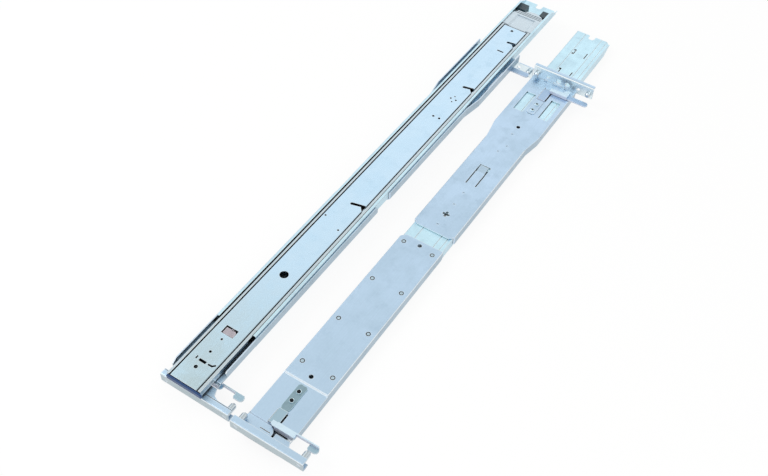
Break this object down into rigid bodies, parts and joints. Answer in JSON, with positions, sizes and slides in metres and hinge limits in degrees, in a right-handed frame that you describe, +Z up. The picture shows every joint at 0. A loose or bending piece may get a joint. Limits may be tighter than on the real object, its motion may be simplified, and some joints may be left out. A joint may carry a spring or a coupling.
{
  "type": "sliding server rail pair",
  "caption": "Pair of telescoping ball-bearing rack slides lying side by side, one outer face up and one inner face up, with folded rack flanges and sprung latches.",
  "frame": {"origin": "centre of the pair's bounding box at floor level", "axes": "+Y along the rails from the front flanges to the rear, +X across the pair towards the rail with its outer face up, +Z up from the floor"},
  "size_m": [0.1882, 0.804, 0.0338],
  "materials": {
    "zinc_channel": "bright zinc plate",
    "zinc_inner": "bright zinc plate",
    "zinc_bracket": "bright zinc plate with a cool cast",
    "rivet_steel": "plated rivet",
    "pin_steel": "bright turned steel",
    "spring_steel": "spring steel",
    "hook_steel": "bright zinc plate",
    "cage_steel": "plain strip",
    "ball_steel": "polished",
    "blue_plastic": "dark blue moulding",
    "pale_plastic": "pale moulding",
    "dark_plastic": "dark moulding",
    "copper_steel": "plated spring strip with a pink cast"
  },
  "bodies": {
    "rails": {"right_outer_channel": "zinc_channel", "right_front_bracket": "zinc_bracket", "right_front_bracket_rivets": "rivet_steel", "right_front_rack_pins": "pin_steel", "right_front_latch_spring": "spring_steel", "right_front_latch_rivets": "rivet_steel", "right_rear_stop": "pale_plastic", "right_channel_catches": "dark_plastic", "left_outer_channel": "zinc_channel", "left_front_bracket": "zinc_bracket", "left_front_bracket_rivets": "rivet_steel", "left_front_rack_pins": "pin_steel", "left_front_latch_spring": "spring_steel", "left_front_latch_rivets": "rivet_steel", "left_rear_stop": "pale_plastic", "left_channel_catches": "dark_plastic"},
    "right_rear": {"right_rear_bracket": "zinc_bracket", "right_rear_rack_pins": "pin_steel", "right_rear_latch_spring": "spring_steel", "right_rear_latch_rivets": "rivet_steel"},
    "right_rear_latch": {"right_rear_latch_hook": "hook_steel"},
    "right_front_latch": {"right_front_latch_hook": "hook_steel"},
    "right_middle": {"right_middle_channel": "zinc_channel"},
    "right_outer_cage": {"right_outer_ball_cage": "cage_steel", "right_outer_balls": "ball_steel"},
    "right_inner": {"right_inner_rail": "zinc_inner", "right_front_bumper": "blue_plastic"},
    "right_inner_cage": {"right_inner_ball_cage": "cage_steel", "right_inner_balls": "ball_steel"},
    "right_lever": {"right_server_lock_lever": "copper_steel"},
    "left_rear": {"left_rear_bracket": "zinc_bracket", "left_rear_rack_pins": "pin_steel", "left_rear_latch_spring": "spring_steel", "left_rear_latch_rivets": "rivet_steel"},
    "left_rear_latch": {"left_rear_latch_hook": "hook_steel"},
    "left_front_latch": {"left_front_latch_hook": "hook_steel"},
    "left_middle": {"left_middle_channel": "zinc_channel"},
    "left_outer_cage": {"left_outer_ball_cage": "cage_steel", "left_outer_balls": "ball_steel"},
    "left_inner": {"left_inner_rail": "zinc_inner", "left_front_bumper": "blue_plastic"},
    "left_inner_cage": {"left_inner_ball_cage": "cage_steel", "left_inner_balls": "ball_steel"},
    "left_lever": {"left_server_lock_lever": "copper_steel"}
  },
  "joints": [
    {"name": "right_rear_bracket_slide", "type": "slide", "parent": "rails", "child": "right_rear", "axis": [-0.0099, 1, 0], "range_m": [-0.02, 0.25]},
    {"name": "right_middle_slide", "type": "slide", "parent": "rails", "child": "right_middle", "axis": [0.0099, -1, 0], "range_m": [0, 0.35]},
    {"name": "right_inner_slide", "type": "slide", "parent": "right_middle", "child": "right_inner", "axis": [0.0099, -1, 0], "range_m": [0, 0.35]},
    {"name": "right_outer_cage_slide", "type": "slide", "parent": "rails", "child": "right_outer_cage", "axis": [0.0099, -1, 0], "range_m": [0, 0.175]},
    {"name": "right_inner_cage_slide", "type": "slide", "parent": "right_middle", "child": "right_inner_cage", "axis": [0.0099, -1, 0], "range_m": [0, 0.175]},
    {"name": "right_front_latch_hinge", "type": "hinge", "parent": "rails", "child": "right_front_latch", "pos_m": [0.03687, -0.35649, 0.0129], "axis": [-1, -0.0099, 0], "range_deg": [0, 5], "stiffness_Nm_per_rad": 0.4},
    {"name": "right_rear_latch_hinge", "type": "hinge", "parent": "right_rear", "child": "right_rear_latch", "pos_m": [0.03114, 0.22019, 0.0149], "axis": [1, 0.0099, 0], "range_deg": [0, 5], "stiffness_Nm_per_rad": 0.4},
    {"name": "right_server_lock_hinge", "type": "hinge", "parent": "right_inner", "child": "right_lever", "pos_m": [0.03593, -0.26164, 0.0021], "axis": [-1, -0.0099, 0], "range_deg": [0, 3], "stiffness_Nm_per_rad": 0.3},
    {"name": "left_rear_bracket_slide", "type": "slide", "parent": "rails", "child": "left_rear", "axis": [0, 0.9999, 0.0105], "range_m": [-0.02, 0.25]},
    {"name": "left_middle_slide", "type": "slide", "parent": "rails", "child": "left_middle", "axis": [0, -0.9999, -0.0105], "range_m": [0, 0.35]},
    {"name": "left_inner_slide", "type": "slide", "parent": "left_middle", "child": "left_inner", "axis": [0, -0.9999, -0.0105], "range_m": [0, 0.35]},
    {"name": "left_outer_cage_slide", "type": "slide", "parent": "rails", "child": "left_outer_cage", "axis": [0, -0.9999, -0.0105], "range_m": [0, 0.175]},
    {"name": "left_inner_cage_slide", "type": "slide", "parent": "left_middle", "child": "left_inner_cage", "axis": [0, -0.9999, -0.0105], "range_m": [0, 0.175]},
    {"name": "left_front_latch_hinge", "type": "hinge", "parent": "rails", "child": "left_front_latch", "pos_m": [-0.06168, -0.34835, 0.01328], "axis": [1, 0, 0], "range_deg": [0, 5], "stiffness_Nm_per_rad": 0.4},
    {"name": "left_rear_latch_hinge", "type": "hinge", "parent": "left_rear", "child": "left_rear_latch", "pos_m": [-0.06168, 0.22834, 0.01733], "axis": [-1, 0, 0], "range_deg": [0, 5], "stiffness_Nm_per_rad": 0.4},
    {"name": "left_server_lock_hinge", "type": "hinge", "parent": "left_inner", "child": "left_lever", "pos_m": [-0.06168, -0.26162, 0.02499], "axis": [1, 0, 0], "range_deg": [0, 3], "stiffness_Nm_per_rad": 0.3}
  ],
  "couplings": [
    {"joint": "right_outer_cage_slide", "follows": "right_middle_slide", "ratio": 0.5},
    {"joint": "right_inner_cage_slide", "follows": "right_inner_slide", "ratio": 0.5},
    {"joint": "left_outer_cage_slide", "follows": "left_middle_slide", "ratio": 0.5},
    {"joint": "left_inner_cage_slide", "follows": "left_inner_slide", "ratio": 0.5}
  ]
}
